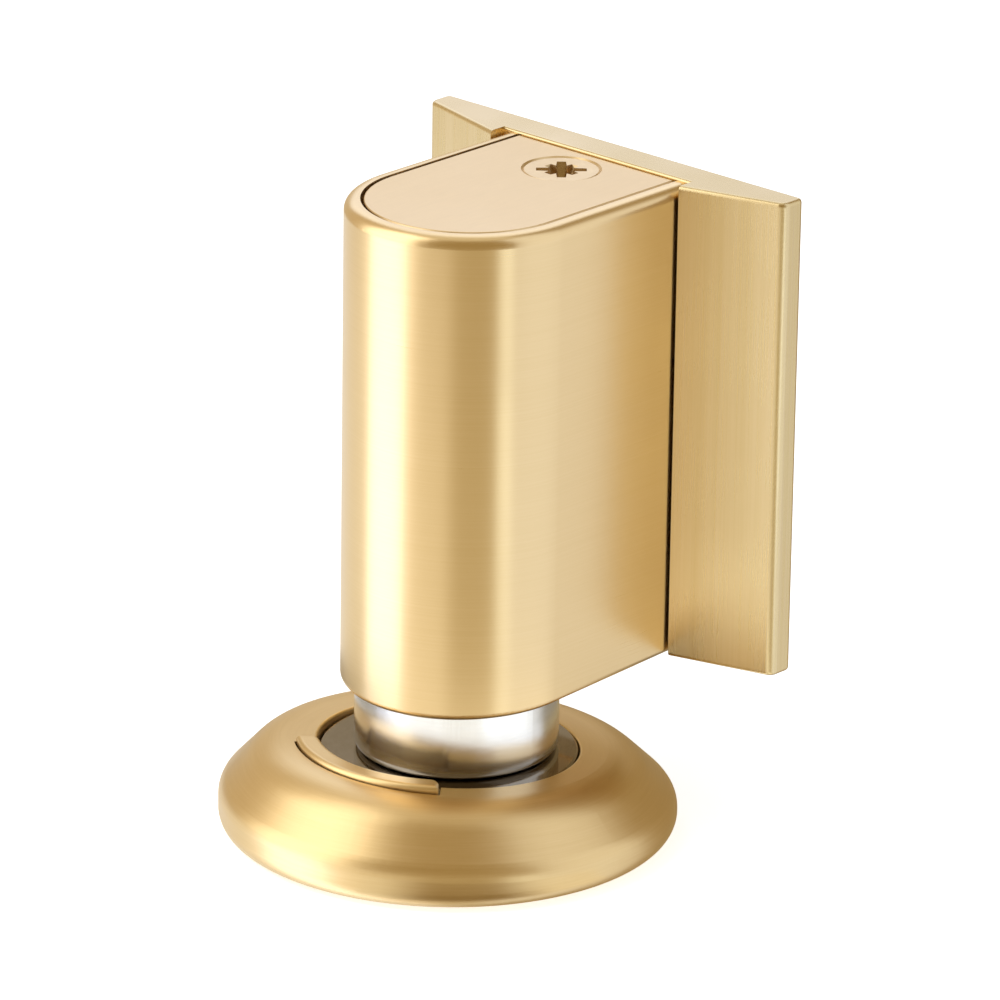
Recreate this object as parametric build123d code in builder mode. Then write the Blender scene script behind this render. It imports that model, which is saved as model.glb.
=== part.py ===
from build123d import *
import os
from math import cos, radians, sin, sqrt, tan

# Magnetic door stop: a door unit with a sprung magnet plunger, above a domed floor base.
# Millimetres. Origin at the centre of the base on the floor, +Z up,
# the nose of the housing towards -Y and the door face towards +Y.

# Plunger
plunger_diameter = 25.3
plunger_y = 1.4
cup_height = 19.9
cup_edge = 1.1
cup_wall = 2.5
magnet_thickness = 6.0
magnet_recess = 0.3
glue_gap = 0.1
rest_gap = 0.03
plunger_travel = 8.0

# Stem, spring and guide
stem_diameter = 6.0
stem_thread_diameter = 5.0
stem_thread_length = 8.0
stem_end = 1.5
thread_gap = 0.05
running_gap = 0.05
bush_wall = 1.95
bush_flange_width = 2.6
bush_flange_thickness = 1.5
bush_gap = 0.03
buffer_thickness = 2.5
buffer_width = 6.0
buffer_gap = 0.15
stop_gap = 0.5
spring_wire = 1.2
spring_gap = 1.0
spring_length = 14.0
spring_turns = 6
spring_seat_gap = 0.03
spring_washer_width = 3.4
spring_washer_thickness = 1.0
spring_washer_gap = 0.1
clip_thickness = 0.8
clip_width = 2.4
clip_groove_depth = 0.6
clip_gap = 0.05
clip_mouth = 4.0

# Housing and cap
bore_gap = 0.15
bore_wall = 2.3
nose_lead = 1.0
housing_side = 23.0
housing_wall = 3.4
housing_edge = 1.5
housing_foot_edge = 0.8
housing_slant = 2.2
plunger_reach = 9.02
head_room = 5.67
web_thickness = 4.0
back_wall = 3.0
floor_wall = 3.2
rear_pocket_wall = 2.9
cap_rim = 2.0
cap_thickness = 3.0
cap_seam = 0.4
cap_back_gap = 0.15
cap_edge = 0.25

# Cap screw
cap_screw_setback = 6.4
cap_screw_diameter = 5.0
cap_screw_head = 9.8
cap_screw_length = 12.0
cap_screw_sink = 0.12
screw_gap = 0.05
screw_clearance = 0.3

# Countersunk heads
sink_angle = 90
cross_length = 0.56
cross_width = 0.13
cross_depth = 2.2
cap_cross_turn = 42
disc_cross_turn = 20
head_rim = 0.1

# Door plate
plate_floor = 4.9
channel_depth = 2.35
channel_gap = 0.36
wing_width = 13.75
wing_tip = 3.5
wing_corner = 1.2
back_corner = 0.7
plate_edge = 0.5
step_edge = 0.35
plate_lift = 0.65
plate_rise = 0.4
lug_width = 13.0
lug_length = 12.0
lug_height = 8.0
lug_gap = 0.25
lug_corner = 1.5
shelf_height = 3.5
shelf_gap = 1.2
door_hole_diameter = 4.5
door_hole_sink = 8.4
door_hole_spacing = 32.0
door_hole_low = 8.2

# Floor base
recess_margin = 3.55
ring_width = 12.2
crown_width = 6.3
crown_tilt = 3.4
crown_round = 7.0
entry_drop = 0.06
belt_height = 4.5
belt_tilt = 1.7
belt_round = 3.2
foot_round = 2.3
recess_edge = 0.3
disc_gap = 0.2
disc_thickness = 2.0
disc_edge = 0.25
core_height = 8.1
core_flange = 3.0
core_gap = 0.2
ring_rim = 3.2
ring_roof = 2.2
lip_width = 2.7
lip_rise = 2.4
lip_half_angle = 39.0
lip_gap = 0.25
lip_edge = 0.6
lip_corner = 1.3
floor_hole_diameter = 4.4
floor_hole_sink = 7.6
floor_circle_diameter = 41.0
floor_hole_count = 3
disc_screw_diameter = 4.0
disc_screw_head = 7.6
disc_screw_length = 8.0
disc_screw_sink = 0.1
blind_end = 0.5

# Sizes worked out from the driving dimensions
plunger_r = plunger_diameter / 2
stem_r = stem_diameter / 2
bore_r = plunger_r + bore_gap
nose_r = bore_r + bore_wall
nose_y = plunger_y + nose_lead
seat_y = nose_y + housing_side
plate_back_y = seat_y + plate_floor
screw_y = seat_y - cap_screw_setback
cap_screw_r = cap_screw_diameter / 2
cap_head_r = cap_screw_head / 2
rear_pocket_y = plunger_y + bore_r + rear_pocket_wall

disc_top = core_height + disc_thickness
plunger_bottom = disc_top + rest_gap
cup_top = plunger_bottom + cup_height
housing_bottom = plunger_bottom + plunger_reach
web_bottom = cup_top + buffer_thickness + plunger_travel + stop_gap
web_top = web_bottom + web_thickness
spring_bottom = web_top + bush_flange_thickness
spring_top = spring_bottom + spring_length
clip_bottom = spring_top + spring_washer_thickness
stem_top = clip_bottom + clip_thickness + 2 * clip_gap + stem_end
cap_bottom = stem_top + plunger_travel + head_room
housing_top = cap_bottom + cap_thickness
plate_bottom = housing_bottom + plate_lift
plate_top = housing_top + plate_rise

coil_r = stem_r + spring_gap + spring_wire / 2
bush_r = stem_r + running_gap + bush_wall
channel_half = nose_r + channel_gap
plate_half = channel_half + wing_width
wing_root_y = seat_y - channel_depth

recess_r = plunger_r + recess_margin
base_r = recess_r + ring_width
disc_r = recess_r - disc_gap
crown_r = recess_r + crown_width
crown_slope = tan(radians(crown_tilt))
entry_y = sqrt(recess_r**2 - plunger_r**2)
crown_height = disc_top + crown_slope * entry_y - entry_drop
flank_run = base_r - crown_r
flank_drop = crown_height - belt_height
ring_skin = ring_roof * sqrt(flank_run**2 + flank_drop**2) / flank_run
lip_r = recess_r + lip_width
lip_top = disc_top + lip_rise
core_r = base_r - ring_rim - core_gap
disc_screw_r = disc_screw_diameter / 2

slant_normal = (0, -sin(radians(housing_slant)), cos(radians(housing_slant)))
slant_plane = Plane((0, plunger_y, housing_bottom), x_dir=(1, 0, 0), z_dir=slant_normal)
plunger_axis = Axis((0, plunger_y, 0), (0, 0, 1))
plunger_plane = Plane((0, plunger_y, 0), x_dir=(1, 0, 0), z_dir=(0, -1, 0))
crown_normal = (0, sin(radians(crown_tilt)), cos(radians(crown_tilt)))
crown_centre = (0, 0, crown_height)
crown_plane = Plane(crown_centre, x_dir=(1, 0, 0), z_dir=crown_normal)
belt_normal = (0, sin(radians(belt_tilt)), cos(radians(belt_tilt)))
belt_plane = Plane((0, 0, belt_height), x_dir=(1, 0, 0), z_dir=belt_normal)
belt_r = base_r / cos(radians(belt_tilt))


# Outline shared by the housing, its pockets and the cap: a round nose with straight sides
def nose_outline(half_width, back_y):
    with Locations((0, nose_y)):
        Circle(half_width)
    with Locations((0, nose_y)):
        Rectangle(2 * half_width, back_y - nose_y, align=(Align.CENTER, Align.MIN))


# Band of the stop lip, seen from above, on the -Y side of the recess
def lip_band(inner_r, outer_r, side_gap):
    reach = 2 * outer_r
    half_angle = radians(lip_half_angle) + side_gap / outer_r
    side_x = reach * sin(half_angle)
    side_y = -reach * cos(half_angle)
    Circle(outer_r)
    Circle(inner_r, mode=Mode.SUBTRACT)
    Polygon((0, 0), (-side_x, side_y), (side_x, side_y), align=None, mode=Mode.INTERSECT)


# Cross recess of a screw head, seen from above
def cross_outline(head, turn):
    Rectangle(cross_length * head, cross_width * head, rotation=turn)
    Rectangle(cross_width * head, cross_length * head, rotation=turn)


# Housing: cast sleeve with a round bore below, a web, and a cavity under the cap
with BuildPart() as housing_shell:
    with BuildSketch(Plane.XY.offset(plunger_bottom)):
        nose_outline(nose_r, seat_y)
    extrude(amount=housing_top - plunger_bottom)
    split(bisect_by=slant_plane, keep=Keep.TOP)
    bottom_rim = housing_shell.faces().sort_by(Axis.Z)[0].edges().sort_by(Axis.Y)[:-1]
    top_rim = housing_shell.faces().sort_by(Axis.Z)[-1].edges().sort_by(Axis.Y)[:-1]
    fillet(bottom_rim, radius=housing_foot_edge)
    fillet(top_rim, radius=housing_edge)
    with BuildSketch(Plane.XY.offset(plunger_bottom)):
        with Locations((0, plunger_y)):
            Circle(bore_r)
    extrude(amount=web_bottom - plunger_bottom, mode=Mode.SUBTRACT)
    with BuildSketch(Plane.XY.offset(web_bottom)):
        with Locations((0, plunger_y)):
            Circle(bush_r + bush_gap)
    extrude(amount=web_thickness, mode=Mode.SUBTRACT)
    with BuildSketch(Plane.XY.offset(web_top)):
        nose_outline(nose_r - housing_wall, seat_y - back_wall)
    extrude(amount=cap_bottom - web_top, mode=Mode.SUBTRACT)
    with BuildSketch(Plane.XY.offset(cap_bottom)):
        nose_outline(nose_r - cap_rim, seat_y)
    extrude(amount=cap_thickness, mode=Mode.SUBTRACT)
    # Rear pocket, open to the plate, that hangs on the plate's shelf
    with BuildSketch(Plane.XY.offset(housing_bottom + floor_wall)):
        with Locations((0, rear_pocket_y)):
            Rectangle(2 * (nose_r - housing_wall), seat_y - rear_pocket_y, align=(Align.CENTER, Align.MIN))
    extrude(amount=web_bottom - housing_bottom - floor_wall, mode=Mode.SUBTRACT)
    # Notch in the back wall for the plate's lug
    with BuildSketch(Plane.XY.offset(cap_bottom - lug_height - lug_gap)):
        with Locations((0, seat_y)):
            Rectangle(lug_width + 2 * lug_gap, 2 * back_wall)
    extrude(amount=lug_height + lug_gap, mode=Mode.SUBTRACT)

# Cap: flush cover let into the top of the housing
with BuildPart() as top_cap:
    with BuildSketch(Plane.XY.offset(cap_bottom)):
        nose_outline(nose_r - cap_rim - cap_seam, seat_y - cap_back_gap)
    extrude(amount=cap_thickness)
    fillet(top_cap.edges().group_by(Axis.Z)[-1], radius=cap_edge)
    with Locations((0, screw_y, housing_top)):
        CounterSinkHole(
            radius=cap_screw_r + screw_clearance,
            counter_sink_radius=cap_head_r + screw_gap,
            depth=cap_thickness,
            counter_sink_angle=sink_angle,
        )

# Countersunk screw that holds the cap and housing to the plate's lug
with BuildPart() as cap_screw:
    with BuildSketch(Plane((0, screw_y, housing_top - cap_screw_sink), x_dir=(1, 0, 0), z_dir=(0, -1, 0))):
        with BuildLine():
            Polyline(
                (0, 0),
                (cap_head_r - head_rim, 0),
                (cap_screw_r, cap_screw_r + head_rim - cap_head_r),
                (cap_screw_r, -cap_screw_length),
                (0, -cap_screw_length),
                close=True,
            )
        make_face()
    revolve(axis=Axis((0, screw_y, 0), (0, 0, 1)))
    with BuildSketch(Plane((0, screw_y, housing_top - cap_screw_sink))):
        cross_outline(cap_screw_head, cap_cross_turn)
    extrude(amount=-cross_depth, mode=Mode.SUBTRACT)

# Door plate: tapered wings, a channel for the housing, a lug under the cap and a shelf below the web
with BuildPart() as door_plate:
    with BuildSketch(Plane.XY.offset(plate_bottom)):
        with BuildLine():
            Polyline(
                (0, plate_back_y),
                (plate_half, plate_back_y),
                (plate_half, plate_back_y - wing_tip),
                (channel_half, wing_root_y),
                (channel_half, seat_y),
                (0, seat_y),
            )
            mirror(about=Plane.YZ)
        make_face()
    extrude(amount=plate_top - plate_bottom)
    outer_edges = door_plate.edges().filter_by(Axis.Z).group_by(lambda edge: abs(edge.center().X))[-1]
    fillet(outer_edges.group_by(Axis.Y)[0], radius=wing_corner)
    fillet(door_plate.edges().filter_by(Axis.Z).group_by(Axis.Y)[-1], radius=back_corner)
    outer_rims = door_plate.faces().filter_by(Axis.Z).edges().filter_by(
        lambda edge: edge.center().Y > plate_back_y - plate_edge or abs(edge.center().X) > channel_half
    )
    fillet(outer_rims, radius=plate_edge)
    step_rim = door_plate.faces().sort_by(Axis.Z)[-1].edges().filter_by(Axis.X).sort_by(Axis.Y)[:1]
    fillet(step_rim, radius=step_edge)
    with BuildSketch(Plane.XY.offset(cap_bottom)):
        with Locations((0, seat_y)):
            Rectangle(lug_width, lug_length, align=(Align.CENTER, Align.MAX))
    lug = extrude(amount=-lug_height)
    fillet(lug.edges().filter_by(Axis.Z).group_by(Axis.Y)[0], radius=lug_corner)
    with BuildSketch(Plane.XY.offset(web_bottom)):
        with Locations((0, seat_y)):
            Rectangle(
                2 * (nose_r - housing_wall - lug_gap),
                seat_y - rear_pocket_y - shelf_gap,
                align=(Align.CENTER, Align.MAX),
            )
    extrude(amount=-shelf_height)
    with Locations((0, screw_y, cap_bottom)):
        Hole(radius=cap_screw_r + screw_gap, depth=lug_height)
    with Locations(Plane.XZ.offset(-seat_y)):
        with Locations(
            (0, plate_bottom + door_hole_low),
            (0, plate_bottom + door_hole_low + door_hole_spacing),
        ):
            CounterSinkHole(
                radius=door_hole_diameter / 2,
                counter_sink_radius=door_hole_sink / 2,
                depth=plate_floor,
                counter_sink_angle=sink_angle,
            )

# Flanged bush in the web
with BuildPart() as guide_bush:
    with BuildSketch(plunger_plane):
        with BuildLine():
            Polyline(
                (stem_r + running_gap, web_bottom),
                (bush_r, web_bottom),
                (bush_r, web_top),
                (bush_r + bush_flange_width, web_top),
                (bush_r + bush_flange_width, spring_bottom),
                (stem_r + running_gap, spring_bottom),
                close=True,
            )
        make_face()
    revolve(axis=plunger_axis)

# Return spring, pressed short while the plunger is down
with BuildPart() as return_spring:
    with BuildLine():
        coil = Helix(
            pitch=(spring_length - spring_wire - 2 * spring_seat_gap) / spring_turns,
            height=spring_length - spring_wire - 2 * spring_seat_gap,
            radius=coil_r,
            center=(0, plunger_y, spring_bottom + spring_wire / 2 + spring_seat_gap),
        )
    with BuildSketch(Plane(origin=coil @ 0, z_dir=coil % 0)):
        Circle(spring_wire / 2)
    sweep(is_frenet=True)

# Magnet cup: the turned end of the plunger that stands on the strike disc
with BuildPart() as magnet_cup:
    with BuildSketch(Plane.XY.offset(plunger_bottom)):
        with Locations((0, plunger_y)):
            Circle(plunger_r)
    extrude(amount=cup_height)
    fillet(magnet_cup.edges().group_by(Axis.Z)[0], radius=cup_edge)
    chamfer(magnet_cup.edges().group_by(Axis.Z)[-1], length=cup_edge / 2)
    with BuildSketch(Plane.XY.offset(plunger_bottom)):
        with Locations((0, plunger_y)):
            Circle(plunger_r - cup_wall)
    extrude(amount=magnet_recess + magnet_thickness, mode=Mode.SUBTRACT)
    with Locations((0, plunger_y, cup_top)):
        Hole(radius=stem_thread_diameter / 2 + thread_gap, depth=stem_thread_length)

# Magnet, glued into the cup
with BuildPart() as magnet:
    with BuildSketch(Plane.XY.offset(plunger_bottom + magnet_recess)):
        with Locations((0, plunger_y)):
            Circle(plunger_r - cup_wall - glue_gap)
    extrude(amount=magnet_thickness)
    chamfer(magnet.edges(), length=magnet_recess)

# Shouldered stem that runs in the bush
with BuildPart() as stem:
    with BuildSketch(plunger_plane):
        with BuildLine():
            Polyline(
                (0, cup_top - stem_thread_length),
                (stem_thread_diameter / 2, cup_top - stem_thread_length),
                (stem_thread_diameter / 2, cup_top),
                (stem_r, cup_top),
                (stem_r, clip_bottom),
                (stem_r - clip_groove_depth, clip_bottom),
                (stem_r - clip_groove_depth, clip_bottom + clip_thickness + 2 * clip_gap),
                (stem_r, clip_bottom + clip_thickness + 2 * clip_gap),
                (stem_r, stem_top),
                (0, stem_top),
                close=True,
            )
        make_face()
    revolve(axis=plunger_axis)
    chamfer(stem.edges().group_by(Axis.Z)[-1], length=stem_end / 3)

# Soft washer that takes the knock when the plunger springs back
with BuildPart() as buffer_washer:
    with BuildSketch(Plane.XY.offset(cup_top)):
        with Locations((0, plunger_y)):
            Circle(stem_r + buffer_gap + buffer_width)
            Circle(stem_r + buffer_gap, mode=Mode.SUBTRACT)
    extrude(amount=buffer_thickness)

# Washer on top of the spring
with BuildPart() as spring_washer:
    with BuildSketch(Plane.XY.offset(spring_top)):
        with Locations((0, plunger_y)):
            Circle(stem_r + spring_washer_gap + spring_washer_width)
            Circle(stem_r + spring_washer_gap, mode=Mode.SUBTRACT)
    extrude(amount=spring_washer_thickness)

# Open clip in the groove of the stem
with BuildPart() as retaining_clip:
    with BuildSketch(Plane.XY.offset(clip_bottom + clip_gap)):
        with Locations((0, plunger_y)):
            Circle(stem_r + clip_width)
            Circle(stem_r - clip_groove_depth + clip_gap, mode=Mode.SUBTRACT)
            Rectangle(
                clip_mouth,
                2 * stem_r + clip_width,
                align=(Align.CENTER, Align.MAX),
                mode=Mode.SUBTRACT,
            )
    extrude(amount=clip_thickness)

# Hollow under the skin of the floor ring
with BuildPart() as ring_hollow:
    with BuildSketch(Plane.XY):
        Circle(base_r)
    with BuildSketch(belt_plane.offset(-ring_skin)):
        Ellipse(base_r, belt_r)
    with BuildSketch(crown_plane.offset(-ring_skin)):
        Circle(crown_r)
    loft(ruled=True)
    with BuildSketch(Plane.XY):
        Circle(core_r + core_gap)
        Circle(lip_r + lip_gap + ring_roof, mode=Mode.SUBTRACT)
    extrude(amount=lip_top, mode=Mode.INTERSECT)

# Floor ring: a dome with a tilted crown, level with the disc at the entry side
with BuildPart() as base_ring:
    with BuildSketch(Plane.XY):
        Circle(base_r)
    with BuildSketch(belt_plane):
        Ellipse(base_r, belt_r)
    with BuildSketch(crown_plane):
        Circle(crown_r)
    loft(ruled=True)
    foot_edges = base_ring.faces().sort_by(Axis.Z)[0].edges()
    crown_edges = base_ring.faces().sort_by(Axis.Z)[-1].edges()
    belt_edges = (base_ring.edges() - foot_edges - crown_edges).filter_by(GeomType.LINE, reverse=True)
    fillet(crown_edges, radius=crown_round)
    fillet(belt_edges, radius=belt_round)
    fillet(foot_edges, radius=foot_round)
    add(ring_hollow.part, mode=Mode.SUBTRACT)
    # Space for the core's flange, then the bore over its boss and the slot for its lip
    with BuildSketch(Plane.XY):
        Circle(core_r + core_gap)
    extrude(amount=core_flange + core_gap, mode=Mode.SUBTRACT)
    with BuildSketch(Plane.XY):
        Circle(recess_r)
    extrude(amount=lip_top, mode=Mode.SUBTRACT)
    fillet(base_ring.edges().filter_by(GeomType.ELLIPSE), radius=recess_edge)
    with BuildSketch(Plane.XY):
        lip_band(recess_r - lip_width, lip_r + lip_gap, lip_gap)
    extrude(amount=lip_top, mode=Mode.SUBTRACT)

# Core: screwed to the floor under the ring, with the boss for the disc and the stop lip
with BuildPart() as base_core:
    with BuildSketch(Plane.XY):
        Circle(core_r)
    extrude(amount=core_flange)
    with BuildSketch(Plane.XY):
        Circle(disc_r)
    extrude(amount=core_height)
    with BuildSketch(Plane.XY):
        lip_band(recess_r - 2 * disc_gap, lip_r, 0)
    extrude(amount=core_height)
    with BuildSketch(Plane.XY.offset(core_height)):
        lip_band(recess_r, lip_r, 0)
    lip = extrude(amount=lip_top - core_height)
    fillet(lip.edges().filter_by(Axis.Z), radius=lip_corner)
    fillet(base_core.edges().group_by(Axis.Z)[-1], radius=lip_edge)
    with Locations((0, 0, core_height)):
        Hole(radius=disc_screw_r + screw_gap, depth=disc_screw_length - disc_thickness + blind_end)
    with Locations((0, 0, core_flange)):
        with PolarLocations(floor_circle_diameter / 2, floor_hole_count, start_angle=90):
            CounterSinkHole(
                radius=floor_hole_diameter / 2,
                counter_sink_radius=floor_hole_sink / 2,
                depth=core_flange,
                counter_sink_angle=sink_angle,
            )

# Polished strike disc
with BuildPart() as strike_disc:
    with BuildSketch(Plane.XY.offset(core_height)):
        Circle(disc_r)
    extrude(amount=disc_thickness)
    chamfer(strike_disc.edges().group_by(Axis.Z)[-1], length=disc_edge)
    with Locations((0, 0, disc_top)):
        CounterSinkHole(
            radius=disc_screw_r + screw_clearance,
            counter_sink_radius=disc_screw_head / 2 + screw_gap,
            depth=disc_thickness,
            counter_sink_angle=sink_angle,
        )

# Countersunk screw that holds the disc to the core
with BuildPart() as disc_screw:
    with BuildSketch(Plane((0, 0, disc_top - disc_screw_sink), x_dir=(1, 0, 0), z_dir=(0, -1, 0))):
        with BuildLine():
            Polyline(
                (0, 0),
                (disc_screw_head / 2 - head_rim, 0),
                (disc_screw_r, disc_screw_r + head_rim - disc_screw_head / 2),
                (disc_screw_r, -disc_screw_length),
                (0, -disc_screw_length),
                close=True,
            )
        make_face()
    revolve(axis=Axis.Z)
    with BuildSketch(Plane((0, 0, disc_top - disc_screw_sink))):
        cross_outline(disc_screw_head, disc_cross_turn)
    extrude(amount=-cross_depth, mode=Mode.SUBTRACT)

pieces = {
    "housing_shell": housing_shell,
    "top_cap": top_cap,
    "cap_screw": cap_screw,
    "door_plate": door_plate,
    "guide_bush": guide_bush,
    "return_spring": return_spring,
    "magnet_cup": magnet_cup,
    "magnet": magnet,
    "stem": stem,
    "buffer_washer": buffer_washer,
    "spring_washer": spring_washer,
    "retaining_clip": retaining_clip,
    "base_ring": base_ring,
    "base_core": base_core,
    "strike_disc": strike_disc,
    "disc_screw": disc_screw,
}
os.makedirs("parts", exist_ok=True)
for name, piece in pieces.items():
    piece.part.label = name
    export_step(piece.part, f"parts/{name}.step")
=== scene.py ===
import bmesh
import bpy
from math import atan2, cos, degrees, pi, radians, sin
from mathutils import Matrix, Vector


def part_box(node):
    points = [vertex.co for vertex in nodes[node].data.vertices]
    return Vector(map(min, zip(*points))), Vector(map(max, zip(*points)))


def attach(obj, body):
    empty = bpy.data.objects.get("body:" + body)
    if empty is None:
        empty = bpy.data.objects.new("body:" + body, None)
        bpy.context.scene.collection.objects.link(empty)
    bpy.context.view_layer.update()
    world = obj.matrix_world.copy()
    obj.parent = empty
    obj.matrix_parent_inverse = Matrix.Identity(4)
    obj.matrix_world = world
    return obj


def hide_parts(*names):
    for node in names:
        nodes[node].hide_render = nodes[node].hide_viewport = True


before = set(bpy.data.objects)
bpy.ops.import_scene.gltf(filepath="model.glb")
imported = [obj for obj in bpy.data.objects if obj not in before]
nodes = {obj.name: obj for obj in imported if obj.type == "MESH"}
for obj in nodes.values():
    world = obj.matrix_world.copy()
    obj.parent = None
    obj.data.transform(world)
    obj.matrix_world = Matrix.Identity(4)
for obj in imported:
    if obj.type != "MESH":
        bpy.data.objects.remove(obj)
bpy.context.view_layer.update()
print("frame loaded with", len(nodes), "CAD nodes")


# Shader helpers

def addNode(tree, kind, place, **settings):
    node = tree.nodes.new(kind)
    node.location = place
    for name, value in settings.items():
        setattr(node, name, value)
    return node


def setSockets(node, values):
    for name, value in values.items():
        node.inputs[name].default_value = value


def newMaterial(name):
    material = bpy.data.materials.new(name)
    material.use_nodes = True
    tree = material.node_tree
    tree.nodes.clear()
    output = addNode(tree, "ShaderNodeOutputMaterial", (900, 0))
    shader = addNode(tree, "ShaderNodeBsdfPrincipled", (600, 0))
    tree.links.new(shader.outputs["BSDF"], output.inputs["Surface"])
    return material, tree, shader


def newGroup(name, inputs, outputs):
    group = bpy.data.node_groups.new(name, "ShaderNodeTree")
    for label, kind in inputs:
        group.interface.new_socket(label, in_out="INPUT", socket_type=kind)
    for label, kind in outputs:
        group.interface.new_socket(label, in_out="OUTPUT", socket_type=kind)
    start = addNode(group, "NodeGroupInput", (-800, 0))
    end = addNode(group, "NodeGroupOutput", (800, 0))
    return group, start, end


# Brush marks: noise drawn out along the stroke, plus a soft cloud for handling
strokeMarks = {
    "fineDetail": 4.0, "fineRough": 0.62, "softDetail": 2.0, "broadShare": 0.22, "cloudScale": 90.0,
}


def buildStrokeGroup():
    group, start, end = newGroup(
        "brushStrokes",
        [("Vector", "NodeSocketVector"), ("Stretch", "NodeSocketVector")],
        [("Fine", "NodeSocketFloat"), ("Broad", "NodeSocketFloat"), ("Cloud", "NodeSocketFloat")],
    )
    drawn = addNode(group, "ShaderNodeVectorMath", (-560, 160), operation="MULTIPLY")
    wide = addNode(group, "ShaderNodeVectorMath", (-320, -40), operation="SCALE")
    wide.inputs["Scale"].default_value = strokeMarks["broadShare"]
    fine = addNode(group, "ShaderNodeTexNoise", (0, 200))
    setSockets(fine, {
        "Scale": 1.0,
        "Detail": strokeMarks["fineDetail"],
        "Roughness": strokeMarks["fineRough"],
    })
    broad = addNode(group, "ShaderNodeTexNoise", (0, -40))
    setSockets(broad, {"Scale": 1.0, "Detail": strokeMarks["softDetail"]})
    cloud = addNode(group, "ShaderNodeTexNoise", (0, -280))
    setSockets(cloud, {"Scale": strokeMarks["cloudScale"], "Detail": strokeMarks["softDetail"]})
    link = group.links.new
    link(start.outputs["Vector"], drawn.inputs[0])
    link(start.outputs["Stretch"], drawn.inputs[1])
    link(drawn.outputs["Vector"], fine.inputs["Vector"])
    link(drawn.outputs["Vector"], wide.inputs[0])
    link(wide.outputs["Vector"], broad.inputs["Vector"])
    link(start.outputs["Vector"], cloud.inputs["Vector"])
    link(fine.outputs["Fac"], end.inputs["Fine"])
    link(broad.outputs["Fac"], end.inputs["Broad"])
    link(cloud.outputs["Fac"], end.inputs["Cloud"])
    return group


# Turned work: X is radius less height, which grows along the profile, Y and Z the direction round the axis
def buildTurnedGroup():
    group, start, end = newGroup(
        "turnedPath", [("Vector", "NodeSocketVector")], [("Vector", "NodeSocketVector")]
    )
    flat = addNode(group, "ShaderNodeVectorMath", (-560, 120), operation="MULTIPLY")
    flat.inputs[1].default_value = (1.0, 1.0, 0.0)
    reach = addNode(group, "ShaderNodeVectorMath", (-320, 220), operation="LENGTH")
    around = addNode(group, "ShaderNodeVectorMath", (-320, 20), operation="NORMALIZE")
    parts = addNode(group, "ShaderNodeSeparateXYZ", (-80, 20))
    height = addNode(group, "ShaderNodeSeparateXYZ", (-320, -180))
    across = addNode(group, "ShaderNodeMath", (160, 220), operation="SUBTRACT")
    joined = addNode(group, "ShaderNodeCombineXYZ", (420, 60))
    link = group.links.new
    link(start.outputs["Vector"], flat.inputs[0])
    link(start.outputs["Vector"], height.inputs["Vector"])
    link(flat.outputs["Vector"], reach.inputs[0])
    link(flat.outputs["Vector"], around.inputs[0])
    link(around.outputs["Vector"], parts.inputs["Vector"])
    link(reach.outputs["Value"], across.inputs[0])
    link(height.outputs["Z"], across.inputs[1])
    link(across.outputs["Value"], joined.inputs["X"])
    link(parts.outputs["X"], joined.inputs["Y"])
    link(parts.outputs["Y"], joined.inputs["Z"])
    link(joined.outputs["Vector"], end.inputs["Vector"])
    return group


strokeGroup = buildStrokeGroup()
turnedGroup = buildTurnedGroup()
print("shader groups built")


# Metal with brush marks in its colour, gloss and surface. Noise from low to high spans the whole change.
metalMarks = {"low": 0.3, "high": 0.7, "fineInGloss": 0.5, "coatIor": 1.5}


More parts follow.
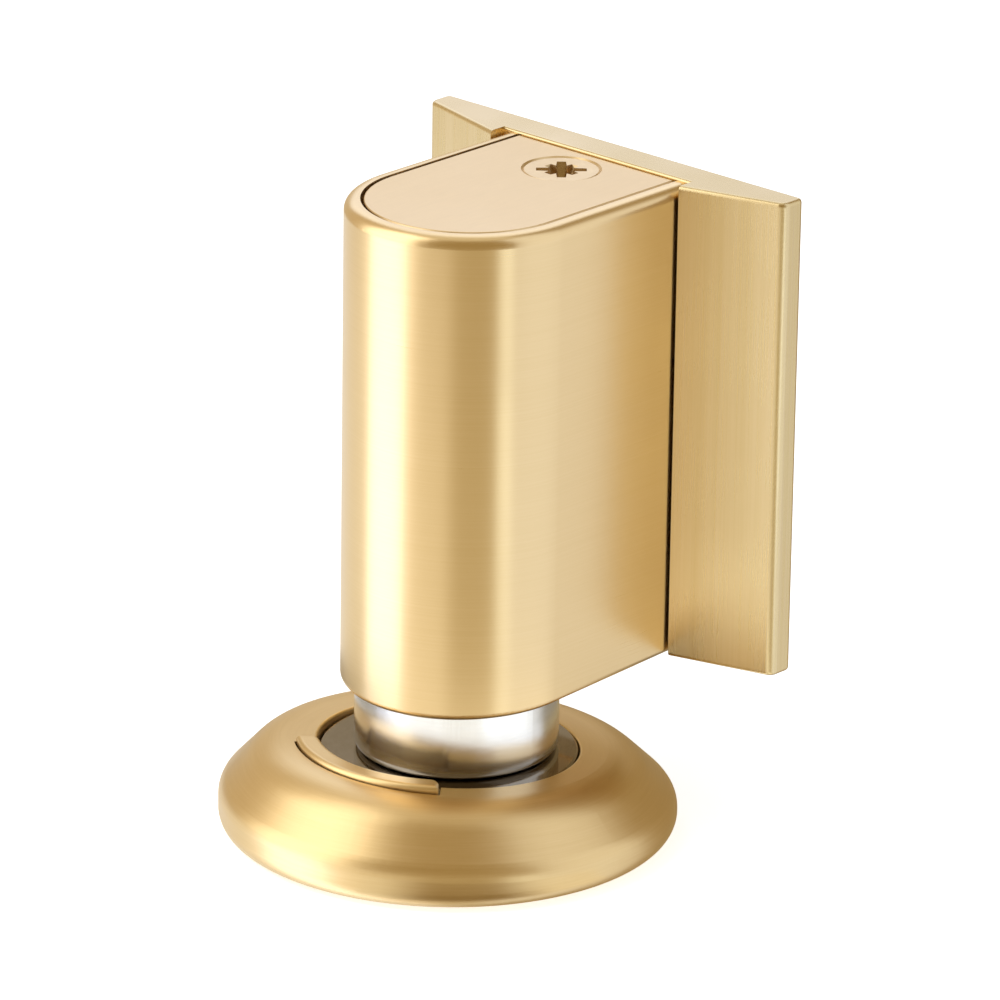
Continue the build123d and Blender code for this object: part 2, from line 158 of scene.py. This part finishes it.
def brushedMetal(name, look):
    material, tree, shader = newMaterial(name)
    link = tree.links.new
    coords = addNode(tree, "ShaderNodeTexCoord", (-1300, 0))
    vector = coords.outputs["Object"]
    if look.get("axis"):  # centre of a turned piece
        centred = addNode(tree, "ShaderNodeMapping", (-1120, 0))
        centred.inputs["Location"].default_value = [-value for value in look["axis"]]
        turned = addNode(tree, "ShaderNodeGroup", (-920, 0), node_tree=turnedGroup)
        link(vector, centred.inputs["Vector"])
        link(centred.outputs["Vector"], turned.inputs["Vector"])
        vector = turned.outputs["Vector"]
    strokes = addNode(tree, "ShaderNodeGroup", (-700, 0), node_tree=strokeGroup)
    strokes.inputs["Stretch"].default_value = look["stretch"]
    link(vector, strokes.inputs["Vector"])
    marks = addNode(tree, "ShaderNodeMix", (-440, 160))  # fine lines over broad streaks
    marks.inputs["Factor"].default_value = look["streaks"]
    link(strokes.outputs["Fine"], marks.inputs["A"])
    link(strokes.outputs["Broad"], marks.inputs["B"])
    marked = marks.outputs["Result"]
    if look.get("calmTops"):  # no dots where the strokes meet a face end on
        facing = addNode(tree, "ShaderNodeNewGeometry", (-900, 420))
        split = addNode(tree, "ShaderNodeSeparateXYZ", (-700, 420))
        upward = addNode(tree, "ShaderNodeMath", (-540, 420), operation="ABSOLUTE")
        calm = addNode(tree, "ShaderNodeMix", (-320, 420))
        link(facing.outputs["Normal"], split.inputs["Vector"])
        link(split.outputs["Z"], upward.inputs["Value"])
        link(upward.outputs["Value"], calm.inputs["Factor"])
        link(marked, calm.inputs["A"])
        link(strokes.outputs["Cloud"], calm.inputs["B"])
        marked = calm.outputs["Result"]
    ramp = addNode(tree, "ShaderNodeValToRGB", (-200, 260))
    ramp.color_ramp.elements[0].position = metalMarks["low"]
    ramp.color_ramp.elements[1].position = metalMarks["high"]
    ramp.color_ramp.elements[0].color = (*look["dark"], 1.0)
    ramp.color_ramp.elements[1].color = (*look["light"], 1.0)
    link(marked, ramp.inputs["Fac"])
    gloss = addNode(tree, "ShaderNodeMapRange", (-200, -20))
    setSockets(gloss, {
        "From Min": metalMarks["low"],
        "From Max": metalMarks["high"],
        "To Min": look["rough"][0],
        "To Max": look["rough"][1],
    })
    blend = addNode(tree, "ShaderNodeMix", (-440, -80))
    blend.inputs["Factor"].default_value = metalMarks["fineInGloss"]
    link(strokes.outputs["Cloud"], blend.inputs["A"])
    link(strokes.outputs["Fine"], blend.inputs["B"])
    link(blend.outputs["Result"], gloss.inputs["Value"])
    bump = addNode(tree, "ShaderNodeBump", (200, -260))
    setSockets(bump, {"Strength": look["bump"], "Distance": look["groove"]})
    link(marked, bump.inputs["Height"])
    link(ramp.outputs["Color"], shader.inputs["Base Color"])
    link(gloss.outputs["Result"], shader.inputs["Roughness"])
    link(bump.outputs["Normal"], shader.inputs["Normal"])
    setSockets(shader, {
        "Metallic": 1.0,
        "Anisotropic": look["anisotropy"],
        "Anisotropic Rotation": look["turn"],
        "Coat Weight": look["coat"],
        "Coat Roughness": look["coatRough"],
        "Coat IOR": metalMarks["coatIor"],
    })
    if look["anisotropy"]:
        tangent = addNode(tree, "ShaderNodeTangent", (200, -480), direction_type="RADIAL", axis="Z")
        link(tangent.outputs["Tangent"], shader.inputs["Tangent"])
    return material


# Moulded plastic and rubber
def mouldedMaterial(name, look):
    material, tree, shader = newMaterial(name)
    link = tree.links.new
    coords = addNode(tree, "ShaderNodeTexCoord", (-900, 0))
    strokes = addNode(tree, "ShaderNodeGroup", (-700, 0), node_tree=strokeGroup)
    strokes.inputs["Stretch"].default_value = look["stretch"]
    ramp = addNode(tree, "ShaderNodeValToRGB", (-300, 200))
    ramp.color_ramp.elements[0].color = (*look["dark"], 1.0)
    ramp.color_ramp.elements[1].color = (*look["light"], 1.0)
    gloss = addNode(tree, "ShaderNodeMapRange", (-300, -80))
    setSockets(gloss, {"To Min": look["rough"][0], "To Max": look["rough"][1]})
    bump = addNode(tree, "ShaderNodeBump", (200, -260))
    setSockets(bump, {"Strength": look["bump"], "Distance": look["groove"]})
    link(coords.outputs["Object"], strokes.inputs["Vector"])
    link(strokes.outputs["Cloud"], ramp.inputs["Fac"])
    link(strokes.outputs["Fine"], gloss.inputs["Value"])
    link(strokes.outputs["Fine"], bump.inputs["Height"])
    link(ramp.outputs["Color"], shader.inputs["Base Color"])
    link(gloss.outputs["Result"], shader.inputs["Roughness"])
    link(bump.outputs["Normal"], shader.inputs["Normal"])
    return material


# Finishes. Stretch is in marks per metre; with an axis, its last two are for the direction round it.
finishes = {
    "roundSatinBrass": {
        "dark": (0.795, 0.59, 0.3), "light": (0.825, 0.62, 0.33), "stretch": (36, 36, 5200),
        "streaks": 0.15, "rough": (0.27, 0.32), "bump": 0.04, "groove": 0.00003,
        "anisotropy": 0.4, "turn": 0.25, "coat": 0.2, "coatRough": 0.25,
    },
    "uprightSatinBrass": {
        "dark": (0.68, 0.525, 0.26), "light": (0.75, 0.595, 0.34), "stretch": (3000, 3000, 26),
        "streaks": 0.5, "rough": (0.25, 0.3), "bump": 0.05, "groove": 0.00003,
        "anisotropy": 0.7, "turn": 0.0, "coat": 0.2, "coatRough": 0.3, "calmTops": True,
    },
    "capSatinBrass": {
        "dark": (0.73, 0.535, 0.28), "light": (0.775, 0.575, 0.312), "stretch": (1800, 300, 1800),
        "streaks": 0.3, "rough": (0.3, 0.36), "bump": 0.03, "groove": 0.00003,
        "anisotropy": 0.0, "turn": 0.0, "coat": 0.2, "coatRough": 0.3,
    },
    "turnedSatinBrass": {
        "dark": (0.74, 0.535, 0.25), "light": (0.79, 0.585, 0.29), "stretch": (3000, 3, 3),
        "streaks": 0.25, "rough": (0.34, 0.4), "bump": 0.006, "groove": 0.00003,
        "anisotropy": 0.4, "turn": 0.25, "coat": 0.2, "coatRough": 0.3, "axis": (0, 0, 0),
    },
    "screwBrass": {
        "dark": (0.7, 0.5, 0.25), "light": (0.82, 0.63, 0.36), "stretch": (900, 900, 900),
        "streaks": 0.3, "rough": (0.25, 0.38), "bump": 0.1, "groove": 0.00005,
        "anisotropy": 0.0, "turn": 0.0, "coat": 0.2, "coatRough": 0.3,
    },
    # Painted shade: a darker brass for the screw recess, standing in for the shade inside it
    "paintedRecessShadeBrass": {
        "dark": (0.42, 0.29, 0.14), "light": (0.6, 0.44, 0.24), "stretch": (1500, 1500, 1500),
        "streaks": 0.4, "rough": (0.22, 0.3), "bump": 0.1, "groove": 0.00004,
        "anisotropy": 0.0, "turn": 0.0, "coat": 0.0, "coatRough": 0.3,
    },
    # Painted shade: a near-black steel for the disc screw's recess, standing in for the shade inside it
    "paintedRecessShadeSteel": {
        "dark": (0.1, 0.1, 0.1), "light": (0.22, 0.22, 0.22), "stretch": (1500, 1500, 1500),
        "streaks": 0.4, "rough": (0.4, 0.55), "bump": 0.1, "groove": 0.00004,
        "anisotropy": 0.0, "turn": 0.0, "coat": 0.0, "coatRough": 0.3,
    },
    "satinNickel": {
        "dark": (0.81, 0.815, 0.81), "light": (0.89, 0.895, 0.89), "stretch": (3000, 5, 5),
        "streaks": 0.3, "rough": (0.19, 0.24), "bump": 0.02, "groove": 0.00003,
        "anisotropy": 0.0, "turn": 0.0, "coat": 0.0, "coatRough": 0.1, "axis": (0, 0.0014, 0),
    },
    "smokySteel": {
        "dark": (0.23, 0.19, 0.14), "light": (0.275, 0.23, 0.175), "stretch": (1500, 8, 8),
        "streaks": 0.4, "rough": (0.05, 0.1), "bump": 0.02, "groove": 0.00002,
        "anisotropy": 0.0, "turn": 0.0, "coat": 0.0, "coatRough": 0.1, "axis": (0, 0, 0),
    },
    "platedSteel": {
        "dark": (0.52, 0.53, 0.55), "light": (0.68, 0.68, 0.68), "stretch": (700, 700, 700),
        "streaks": 0.4, "rough": (0.25, 0.38), "bump": 0.06, "groove": 0.00004,
        "anisotropy": 0.0, "turn": 0.0, "coat": 0.0, "coatRough": 0.1,
    },
}
materials = {name: brushedMetal(name, look) for name, look in finishes.items()}
mouldings = {
    "guidePlastic": {
        "dark": (0.78, 0.78, 0.75), "light": (0.86, 0.86, 0.83), "stretch": (900, 900, 900),
        "rough": (0.38, 0.5), "bump": 0.08, "groove": 0.00005,
    },
    "bufferRubber": {
        "dark": (0.02, 0.02, 0.02), "light": (0.04, 0.04, 0.04), "stretch": (1400, 1400, 1400),
        "rough": (0.6, 0.8), "bump": 0.2, "groove": 0.00008,
    },
}
for name, look in mouldings.items():
    materials[name] = mouldedMaterial(name, look)
print("materials built:", len(materials))

# Which finish each CAD node wears
wears = {
    "housing_shell": "roundSatinBrass",
    "top_cap": "capSatinBrass",
    "door_plate": "uprightSatinBrass",
    "base_ring": "turnedSatinBrass",
    "base_core": "turnedSatinBrass",
    "strike_disc": "smokySteel",
    "magnet_cup": "satinNickel",
    "magnet": "satinNickel",
    "stem": "platedSteel",
    "return_spring": "platedSteel",
    "spring_washer": "platedSteel",
    "retaining_clip": "platedSteel",
    "guide_bush": "guidePlastic",
    "buffer_washer": "bufferRubber",
}
for name, finish in wears.items():
    nodes[name].material_slots[0].material = materials[finish]


def finishPiece(bm, name, pieceMaterials, body, replaced):
    mesh = bpy.data.meshes.new(name)
    bm.to_mesh(mesh)
    bm.free()
    for material in pieceMaterials:
        mesh.materials.append(material)
    piece = bpy.data.objects.new(name, mesh)
    bpy.context.scene.collection.objects.link(piece)
    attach(piece, body)
    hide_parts(replaced)


# Countersunk screws with a tapered cross recess and a wound thread, built with the top of the head at zero.
# The recess point is a share of the recess, and the thread gap and ridge are shares of the pitch.
screwShape = {
    "point": 0.0004, "arms": 8, "recessPoint": 0.3, "threadGap": 0.6, "ridgeFoot": 0.42, "ridgeTip": 0.06,
    "bite": 0.00015, "threadSteps": 36, "crease": radians(30), "merge": 0.000001,
}


def countersunkScrew(look):
    bm = bmesh.new()
    headR, shankR, rootR, rim = look["headR"], look["shankR"], look["rootR"], look["rim"]
    coneEnd = -rim - (headR - rootR)
    tipStart = screwShape["point"] - look["length"]
    profile = [
        (headR - rim, 0), (headR, -rim), (rootR, coneEnd), (rootR, tipStart),
        (rootR - screwShape["point"], -look["length"]), (0, -look["length"]),
    ]
    points = [bm.verts.new((radius, 0, height)) for radius, height in profile]
    edges = [bm.edges.new(pair) for pair in zip(points, points[1:])]
    bmesh.ops.spin(
        bm, geom=points + edges, cent=(0, 0, 0), axis=(0, 0, 1), angle=2 * pi, steps=look["sides"],
        use_merge=True,
    )
    bmesh.ops.remove_doubles(bm, verts=bm.verts, dist=screwShape["merge"])
    rimEdges = [edge for edge in bm.edges if edge.is_boundary]
    # cross outline with a short arm between each two long ones
    corners = []
    tip = look["armTip"]
    armStep = 2 * pi / screwShape["arms"]
    for arm in range(screwShape["arms"]):
        reach = look["shortArm"] if arm % 2 else look["arm"]
        for along, across, turn in ((reach, -tip, 0), (reach, tip, 0), (look["waist"], 0, armStep / 2)):
            spot = Matrix.Rotation(arm * armStep + turn + look["crossTurn"], 3, "Z")
            corners.append(bm.verts.new(spot @ Vector((along, across, 0))))
    crossEdges = [bm.edges.new(pair) for pair in zip(corners, corners[1:] + corners[:1])]
    bmesh.ops.triangle_fill(bm, edges=rimEdges + crossEdges, use_beauty=True, normal=(0, 0, 1))
    # the recess narrows as it goes down, then ends in a cone
    walls = bmesh.ops.extrude_edge_only(bm, edges=crossEdges)["geom"]
    low = [part for part in walls if isinstance(part, bmesh.types.BMVert)]
    lowEdges = [
        part for part in walls
        if isinstance(part, bmesh.types.BMEdge) and all(vert in low for vert in part.verts)
    ]
    bmesh.ops.scale(bm, vec=(look["taper"], look["taper"], 1), verts=low)
    bmesh.ops.translate(bm, vec=(0, 0, -look["recess"]), verts=low)
    bottom = bmesh.ops.extrude_edge_only(bm, edges=lowEdges)["geom"]
    point = [part for part in bottom if isinstance(part, bmesh.types.BMVert)]
    bmesh.ops.scale(bm, vec=(0, 0, 1), verts=point)
    bmesh.ops.translate(bm, vec=(0, 0, -look["recess"] * screwShape["recessPoint"]), verts=point)
    # the recess walls and point take the second material, whose darker colour paints the shade inside the
    # recess
    for part in walls + bottom:
        if isinstance(part, bmesh.types.BMFace):
            part.material_index = 1
    bmesh.ops.remove_doubles(bm, verts=bm.verts, dist=screwShape["merge"])
    bmesh.ops.recalc_face_normals(bm, faces=bm.faces)
    # thread ridge wound round the root
    pitch = look["pitch"]
    begin = coneEnd - pitch * screwShape["threadGap"]
    turns = int((begin - tipStart) / pitch)
    footR = rootR - screwShape["bite"]
    footHalf = pitch * screwShape["ridgeFoot"]
    tipHalf = pitch * screwShape["ridgeTip"]
    ridge = [
        bm.verts.new((footR, 0, begin + footHalf)),
        bm.verts.new((shankR, 0, begin + tipHalf)),
        bm.verts.new((shankR, 0, begin - tipHalf)),
        bm.verts.new((footR, 0, begin - footHalf)),
    ]
    face = bm.faces.new(ridge)
    bmesh.ops.spin(
        bm, geom=ridge + list(face.edges) + [face], cent=(0, 0, 0), axis=(0, 0, 1), angle=2 * pi * turns,
        dvec=(0, 0, -pitch / screwShape["threadSteps"]), steps=turns * screwShape["threadSteps"],
    )
    print("  thread turns", turns)
    bmesh.ops.recalc_face_normals(bm, faces=bm.faces)
    bmesh.ops.translate(bm, vec=look["place"], verts=bm.verts)
    for face in bm.faces:
        face.smooth = True
    for edge in bm.edges:
        edge.smooth = edge.calc_face_angle(0) < screwShape["crease"]
    return bm


capScrewLow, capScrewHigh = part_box("cap_screw")
capScrew = {
    "headR": 0.00468, "rim": 0.00012, "shankR": 0.0025, "rootR": 0.00205, "length": 0.012, "sides": 72,
    "arm": 0.0031, "shortArm": 0.0024, "armTip": 0.00055, "waist": 0.0017, "crossTurn": radians(42),
    "taper": 0.5, "recess": 0.0024, "pitch": 0.0008,
    "place": (0, (capScrewLow.y + capScrewHigh.y) / 2, capScrewHigh.z),
}
finishPiece(
    countersunkScrew(capScrew), "capScrew", [materials["screwBrass"], materials["paintedRecessShadeBrass"]],
    "door_unit", "cap_screw",
)
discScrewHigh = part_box("disc_screw")[1]
discScrew = {
    "headR": 0.0036, "rim": 0.0001, "shankR": 0.002, "rootR": 0.0016, "length": 0.008, "sides": 64,
    "arm": 0.0021, "shortArm": 0.0014, "armTip": 0.00034, "waist": 0.001, "crossTurn": radians(20),
    "taper": 0.55, "recess": 0.0017, "pitch": 0.0007,
    "place": (0, 0, discScrewHigh.z),
}
finishPiece(
    countersunkScrew(discScrew), "discScrew", [materials["platedSteel"], materials["paintedRecessShadeSteel"]],
    "floor_base", "disc_screw",
)
print("screws cut")

# Camera at the photograph's angle
view = {
    "azimuth": 42.266, "elevation": 20.539, "roll": 0.86, "lens": 281.1, "sensor": 36.0,
    "target": (-0.003481, 0.0126, 0.038242), "distance": 0.964155, "clip": (0.01, 20.0),
}
azimuth, elevation, roll = (radians(view[key]) for key in ("azimuth", "elevation", "roll"))
back = Vector((sin(azimuth) * cos(elevation), -cos(azimuth) * cos(elevation), sin(elevation)))
right = Vector((cos(azimuth), sin(azimuth), 0))
up = back.cross(right)
cameraX = right * cos(roll) + up * sin(roll)
cameraY = up * cos(roll) - right * sin(roll)
cameraData = bpy.data.cameras.new("productCamera")
cameraData.lens = view["lens"]
cameraData.sensor_width = view["sensor"]
cameraData.clip_start, cameraData.clip_end = view["clip"]
camera = bpy.data.objects.new("productCamera", cameraData)
bpy.context.scene.collection.objects.link(camera)
camera.matrix_world = Matrix.Translation(Vector(view["target"]) + back * view["distance"]) @ (
    Matrix((cameraX, cameraY, back)).transposed().to_4x4()
)
bpy.context.scene.camera = camera

# Studio: a white world, a pale floor, one soft lamp, a tent and a sheet that the metal mirrors, and a dark
# sheet by the foot that paints the floor's shadow into the reflections
studio = {
    "worldFill": 0.55, "floorColour": (0.86, 0.86, 0.86), "floorRough": 0.9, "floorLift": 0.62,
    "floorSize": 3.0, "floorSides": 96, "floorDrop": 0.0001,
}


def seenDirectly(tree, place):  # 1 for camera, glossy and transmission rays
    path = addNode(tree, "ShaderNodeLightPath", place)
    first = addNode(tree, "ShaderNodeMath", (place[0] + 200, place[1]), operation="MAXIMUM")
    second = addNode(tree, "ShaderNodeMath", (place[0] + 400, place[1]), operation="MAXIMUM")
    tree.links.new(path.outputs["Is Camera Ray"], first.inputs[0])
    tree.links.new(path.outputs["Is Glossy Ray"], first.inputs[1])
    tree.links.new(first.outputs["Value"], second.inputs[0])
    tree.links.new(path.outputs["Is Transmission Ray"], second.inputs[1])
    return second.outputs["Value"]


world = bpy.data.worlds.new("studioWorld")
bpy.context.scene.world = world
world.use_nodes = True
worldTree = world.node_tree
worldTree.nodes.clear()
worldOutput = addNode(worldTree, "ShaderNodeOutputWorld", (600, 0))
fill = addNode(worldTree, "ShaderNodeBackground", (0, 120))
setSockets(fill, {"Color": (1, 1, 1, 1), "Strength": studio["worldFill"]})
white = addNode(worldTree, "ShaderNodeBackground", (0, -120))
setSockets(white, {"Color": (1, 1, 1, 1), "Strength": 1.0})
choice = addNode(worldTree, "ShaderNodeMixShader", (300, 0))
worldTree.links.new(seenDirectly(worldTree, (-700, 0)), choice.inputs["Fac"])
worldTree.links.new(fill.outputs["Background"], choice.inputs[1])
worldTree.links.new(white.outputs["Background"], choice.inputs[2])
worldTree.links.new(choice.outputs["Shader"], worldOutput.inputs["Surface"])

floorMaterial, floorTree, floorShader = newMaterial("paleFloor")
setSockets(floorShader, {
    "Base Color": (*studio["floorColour"], 1),
    "Roughness": studio["floorRough"],
    "Specular IOR Level": 0.0,
    "Emission Color": (1, 1, 1, 1),
})
lift = addNode(floorTree, "ShaderNodeMath", (300, -300), operation="MULTIPLY")
lift.inputs[1].default_value = studio["floorLift"]
floorTree.links.new(seenDirectly(floorTree, (-400, -300)), lift.inputs[0])
floorTree.links.new(lift.outputs["Value"], floorShader.inputs["Emission Strength"])
floorBm = bmesh.new()
bmesh.ops.create_circle(
    floorBm, cap_ends=True, radius=studio["floorSize"], segments=studio["floorSides"]
)
bmesh.ops.translate(floorBm, vec=(0, 0, -studio["floorDrop"]), verts=floorBm.verts)
floorMesh = bpy.data.meshes.new("floor")
floorBm.to_mesh(floorMesh)
floorBm.free()
floorMesh.materials.append(floorMaterial)
floor = bpy.data.objects.new("floor", floorMesh)
bpy.context.scene.collection.objects.link(floor)
floor.visible_glossy = False  # the metal mirrors the tent instead

# A soft tent and a sheet over the floor, which only reflections see, and by the foot a sheet of painted
# shadow, also seen only in reflections. Cards lie over the base glow in turn. Each has a span of azimuth,
# counted from the camera's angle, a height above the origin and soft edges across and upwards, all in
# degrees.
tent = {
    "reach": 0.35, "around": 240, "rings": 120, "base": (0.41, 0.305, 0.15),
    "cards": {
        "rearLeft": {"span": (-182, -85), "height": (-91, -2), "soft": (10, 5), "glow": (0.96, 0.95, 0.92)},
        "shade": {"span": (-85, 5), "height": (-91, -2), "soft": (10, 5), "glow": (1.05, 1.0, 0.9)},
        "front": {"span": (-14, 60), "height": (-91, -2), "soft": (16, 5), "glow": (0.66, 0.58, 0.415)},
        "right": {"span": (37, 104), "height": (-91, -2), "soft": (10, 5), "glow": (1.03, 1.08, 1.2)},
        "sideLow": {"span": (90, 112), "height": (-91, -12), "soft": (12, 9), "glow": (0.9, 0.9, 0.92)},
        "strip": {"span": (29, 42), "height": (-15, -2), "soft": (5, 9), "glow": (1.95, 2.2, 2.5)},
        "key": {"span": (-100, -59), "height": (-91, -2), "soft": (5, 5), "glow": (2.2, 2.35, 2.9)},
        "rearLeftHigh": {
            "span": (-182, -90), "height": (-2, 70), "soft": (12, 5), "glow": (0.66, 0.54, 0.37),
        },
        "backLow": {"span": (172, 222), "height": (4, 27), "soft": (14, 6), "glow": (0.68, 0.58, 0.42)},
        "rightHigh": {"span": (46, 106), "height": (-2, 70), "soft": (12, 5), "glow": (1.03, 1.06, 1.14)},
        "keyHigh": {"span": (-105, -49), "height": (-2, 70), "soft": (18, 5), "glow": (2.1, 2.1, 2.1)},
        "backHigh": {"span": (148, 212), "height": (27, 91), "soft": (12, 6), "glow": (1.25, 1.32, 1.55)},
        "over": {"span": (-181, 181), "height": (72, 91), "soft": (1, 8), "glow": (0.8, 0.74, 0.62)},
    },
}
nearFloor = {
    "reach": (0.038, 0.051), "around": 240, "above": 0.004, "base": (0.3, 0.26, 0.2),
    "cards": {
        "sheet": {"span": (-70, 88), "height": (-91, 91), "soft": (40, 1), "glow": (1.4, 1.38, 1.32)},
    },
}
# Painted shadow: this sheet is dark in its middle, where the object keeps the light off the floor, and the
# foot mirrors it as a contact shadow
paintedFootShadow = {
    "reach": (0.0288, 0.037), "span": (-24, 46), "steps": 70, "above": 0.0004, "base": (1.04, 1.03, 1.0),
    "cards": {
        "shadowMiddle": {"span": (-12, 23), "height": (-91, 91), "soft": (20, 1), "glow": (0.3, 0.21, 0.1)},
    },
}


def softEdge(inside, width):  # smooth step across an edge of this width
    share = min(1, max(0, inside / width + 0.5))
    return share * share * (3 - 2 * share)


def cardShare(card, around, height):
    start, end = card["span"]
    low, high = card["height"]
    turn = (around - (start + end) / 2 + 180) % 360 - 180
    across = softEdge((end - start) / 2 - abs(turn), card["soft"][0])
    return across * softEdge(min(height - low, high - height), card["soft"][1])


def mirroredGlow(bm, name, look):
    glowLayer = bm.verts.layers.float_color.new("glow")
    for vert in bm.verts:
        around = degrees(atan2(vert.co.x, -vert.co.y)) - view["azimuth"]
        height = degrees(atan2(vert.co.z, vert.co.xy.length))
        glow = Vector(look["base"])
        for card in look["cards"].values():
            glow = glow.lerp(Vector(card["glow"]), cardShare(card, around, height))
        vert[glowLayer] = (*glow, 1)
    mesh = bpy.data.meshes.new(name)
    bm.to_mesh(mesh)
    bm.free()
    material = bpy.data.materials.new(name)
    material.use_nodes = True
    tree = material.node_tree
    tree.nodes.clear()
    painted = addNode(tree, "ShaderNodeAttribute", (-200, 0), attribute_name="glow")
    glow = addNode(tree, "ShaderNodeEmission", (0, 0))
    output = addNode(tree, "ShaderNodeOutputMaterial", (200, 0))
    tree.links.new(painted.outputs["Color"], glow.inputs["Color"])
    tree.links.new(glow.outputs["Emission"], output.inputs["Surface"])
    material.cycles.emission_sampling = "NONE"
    mesh.materials.append(material)
    piece = bpy.data.objects.new(name, mesh)
    bpy.context.scene.collection.objects.link(piece)
    piece.visible_camera = False
    piece.visible_diffuse = False
    piece.visible_transmission = False
    piece.visible_shadow = False


tentBm = bmesh.new()
bmesh.ops.create_uvsphere(tentBm, u_segments=tent["around"], v_segments=tent["rings"], radius=tent["reach"])
mirroredGlow(tentBm, "softTent", tent)
sheetBm = bmesh.new()
inner, outer = (
    bmesh.ops.create_circle(sheetBm, radius=radius, segments=nearFloor["around"])["verts"]
    for radius in nearFloor["reach"]
)
rims = {edge for vert in inner + outer for edge in vert.link_edges}
bmesh.ops.bridge_loops(sheetBm, edges=list(rims))
bmesh.ops.translate(sheetBm, vec=(0, 0, nearFloor["above"]), verts=sheetBm.verts)
mirroredGlow(sheetBm, "nearFloor", nearFloor)
# the sheet of painted shadow by the foot, seen only in reflections
footShadowBm = bmesh.new()
footShadowStart, footShadowEnd = (radians(view["azimuth"] + turn) for turn in paintedFootShadow["span"])
footShadowEdge = [
    footShadowBm.verts.new((radius * sin(footShadowStart), -radius * cos(footShadowStart), paintedFootShadow["above"]))
    for radius in paintedFootShadow["reach"]
]
bmesh.ops.spin(
    footShadowBm, geom=footShadowEdge + [footShadowBm.edges.new(footShadowEdge)], cent=(0, 0, 0), axis=(0, 0, 1),
    angle=footShadowEnd - footShadowStart, steps=paintedFootShadow["steps"],
)
mirroredGlow(footShadowBm, "paintedFootShadow", paintedFootShadow)

lampLook = {"place": (-0.35, -0.3, 0.7), "size": 0.6, "power": 4.0}
lampData = bpy.data.lights.new("softLamp", "AREA")
lampData.size = lampLook["size"]
lampData.energy = lampLook["power"]
lamp = bpy.data.objects.new("softLamp", lampData)
lamp.location = lampLook["place"]
lamp.rotation_euler = Vector(lampLook["place"]).to_track_quat("Z", "Y").to_euler()
lamp.visible_glossy = False
bpy.context.scene.collection.objects.link(lamp)
bpy.context.scene.view_settings.view_transform = "Standard"
print("studio set")
